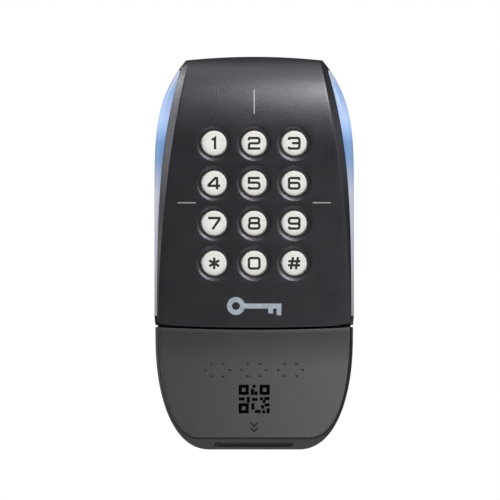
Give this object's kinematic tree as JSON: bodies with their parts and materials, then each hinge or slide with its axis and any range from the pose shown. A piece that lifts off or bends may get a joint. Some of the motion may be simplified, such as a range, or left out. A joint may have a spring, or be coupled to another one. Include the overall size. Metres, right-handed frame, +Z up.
{
  "type": "keypad access reader",
  "caption": "Wall-mounted access reader with a back-lit numeric keypad, glowing side strips and a lower code-scanner module.",
  "frame": {"origin": "rear face of the wall plate, on the centre line, half-way up the reader", "axes": "+X to the right seen from the front, +Y into the wall, +Z up"},
  "size_m": [0.0798, 0.044, 0.1572],
  "materials": {
    "shell_plastic": "black fine-grained moulding, satin",
    "housing_plastic": "black matt moulding",
    "cover_plastic": "charcoal fine-grained moulding, satin",
    "keycap_plastic": "back-lit warm white keycap with dark numeral",
    "light_guide": "translucent diffusing strip lit blue",
    "dark_window": "dark red-black polished filter window",
    "seal_rubber": "soft black seal",
    "mat_silicone": "milky silicone",
    "circuit_board": "green solder mask",
    "flat_ribbon": "amber flexible film",
    "antenna_film": "antenna film with copper tracks",
    "terminal_plastic": "green terminal block",
    "white_plastic": "white moulding",
    "screw_steel": "zinc-plated steel"
  },
  "bodies": {
    "housing": {"wall_plate": "housing_plastic", "rear_housing": "housing_plastic", "front_shell": "shell_plastic", "light_guide_left": "light_guide", "light_guide_right": "light_guide", "housing_gasket": "seal_rubber", "keypad_mat": "mat_silicone", "keypad_board": "circuit_board", "keypad_ribbon": "flat_ribbon", "antenna_coil": "antenna_film", "main_board": "circuit_board", "terminal_block": "terminal_plastic", "buzzer": "housing_plastic", "led_board_left": "circuit_board", "led_board_right": "circuit_board", "cable_grommet": "seal_rubber", "tamper_switch": "housing_plastic", "tamper_spring": "screw_steel", "housing_screw_1": "screw_steel", "housing_screw_2": "screw_steel", "housing_screw_3": "screw_steel", "housing_screw_4": "screw_steel", "security_screw": "screw_steel", "scanner_cover": "cover_plastic", "scanner_window": "dark_window", "window_gasket": "seal_rubber", "scanner_base": "housing_plastic", "scanner_board": "circuit_board", "module_ribbon": "flat_ribbon", "scanner_engine": "housing_plastic", "scanner_lens": "dark_window", "scan_led_left": "white_plastic", "scan_led_right": "white_plastic", "module_screw_left": "screw_steel", "module_screw_right": "screw_steel", "scanner_screw_left": "screw_steel", "scanner_screw_right": "screw_steel"},
    "key_1": {"key_1": "keycap_plastic"},
    "key_2": {"key_2": "keycap_plastic"},
    "key_3": {"key_3": "keycap_plastic"},
    "key_4": {"key_4": "keycap_plastic"},
    "key_5": {"key_5": "keycap_plastic"},
    "key_6": {"key_6": "keycap_plastic"},
    "key_7": {"key_7": "keycap_plastic"},
    "key_8": {"key_8": "keycap_plastic"},
    "key_9": {"key_9": "keycap_plastic"},
    "key_star": {"key_star": "keycap_plastic"},
    "key_0": {"key_0": "keycap_plastic"},
    "key_hash": {"key_hash": "keycap_plastic"},
    "tamper_plunger": {"tamper_plunger": "white_plastic"}
  },
  "joints": [
    {"name": "key_1_press", "type": "slide", "parent": "housing", "child": "key_1", "axis": [0, 1, 0], "range_m": [0, 0.0008], "stiffness_N_per_m": 1500, "deforming": ["keypad_mat"]},
    {"name": "key_2_press", "type": "slide", "parent": "housing", "child": "key_2", "axis": [0, 1, 0], "range_m": [0, 0.0008], "stiffness_N_per_m": 1500, "deforming": ["keypad_mat"]},
    {"name": "key_3_press", "type": "slide", "parent": "housing", "child": "key_3", "axis": [0, 1, 0], "range_m": [0, 0.0008], "stiffness_N_per_m": 1500, "deforming": ["keypad_mat"]},
    {"name": "key_4_press", "type": "slide", "parent": "housing", "child": "key_4", "axis": [0, 1, 0], "range_m": [0, 0.0008], "stiffness_N_per_m": 1500, "deforming": ["keypad_mat"]},
    {"name": "key_5_press", "type": "slide", "parent": "housing", "child": "key_5", "axis": [0, 1, 0], "range_m": [0, 0.0008], "stiffness_N_per_m": 1500, "deforming": ["keypad_mat"]},
    {"name": "key_6_press", "type": "slide", "parent": "housing", "child": "key_6", "axis": [0, 1, 0], "range_m": [0, 0.0008], "stiffness_N_per_m": 1500, "deforming": ["keypad_mat"]},
    {"name": "key_7_press", "type": "slide", "parent": "housing", "child": "key_7", "axis": [0, 1, 0], "range_m": [0, 0.0008], "stiffness_N_per_m": 1500, "deforming": ["keypad_mat"]},
    {"name": "key_8_press", "type": "slide", "parent": "housing", "child": "key_8", "axis": [0, 1, 0], "range_m": [0, 0.0008], "stiffness_N_per_m": 1500, "deforming": ["keypad_mat"]},
    {"name": "key_9_press", "type": "slide", "parent": "housing", "child": "key_9", "axis": [0, 1, 0], "range_m": [0, 0.0008], "stiffness_N_per_m": 1500, "deforming": ["keypad_mat"]},
    {"name": "key_star_press", "type": "slide", "parent": "housing", "child": "key_star", "axis": [0, 1, 0], "range_m": [0, 0.0008], "stiffness_N_per_m": 1500, "deforming": ["keypad_mat"]},
    {"name": "key_0_press", "type": "slide", "parent": "housing", "child": "key_0", "axis": [0, 1, 0], "range_m": [0, 0.0008], "stiffness_N_per_m": 1500, "deforming": ["keypad_mat"]},
    {"name": "key_hash_press", "type": "slide", "parent": "housing", "child": "key_hash", "axis": [0, 1, 0], "range_m": [0, 0.0008], "stiffness_N_per_m": 1500, "deforming": ["keypad_mat"]},
    {"name": "tamper_release", "type": "slide", "parent": "housing", "child": "tamper_plunger", "axis": [0, 1, 0], "range_m": [0, 0.0015], "stiffness_N_per_m": 400, "deforming": ["tamper_spring"]}
  ]
}
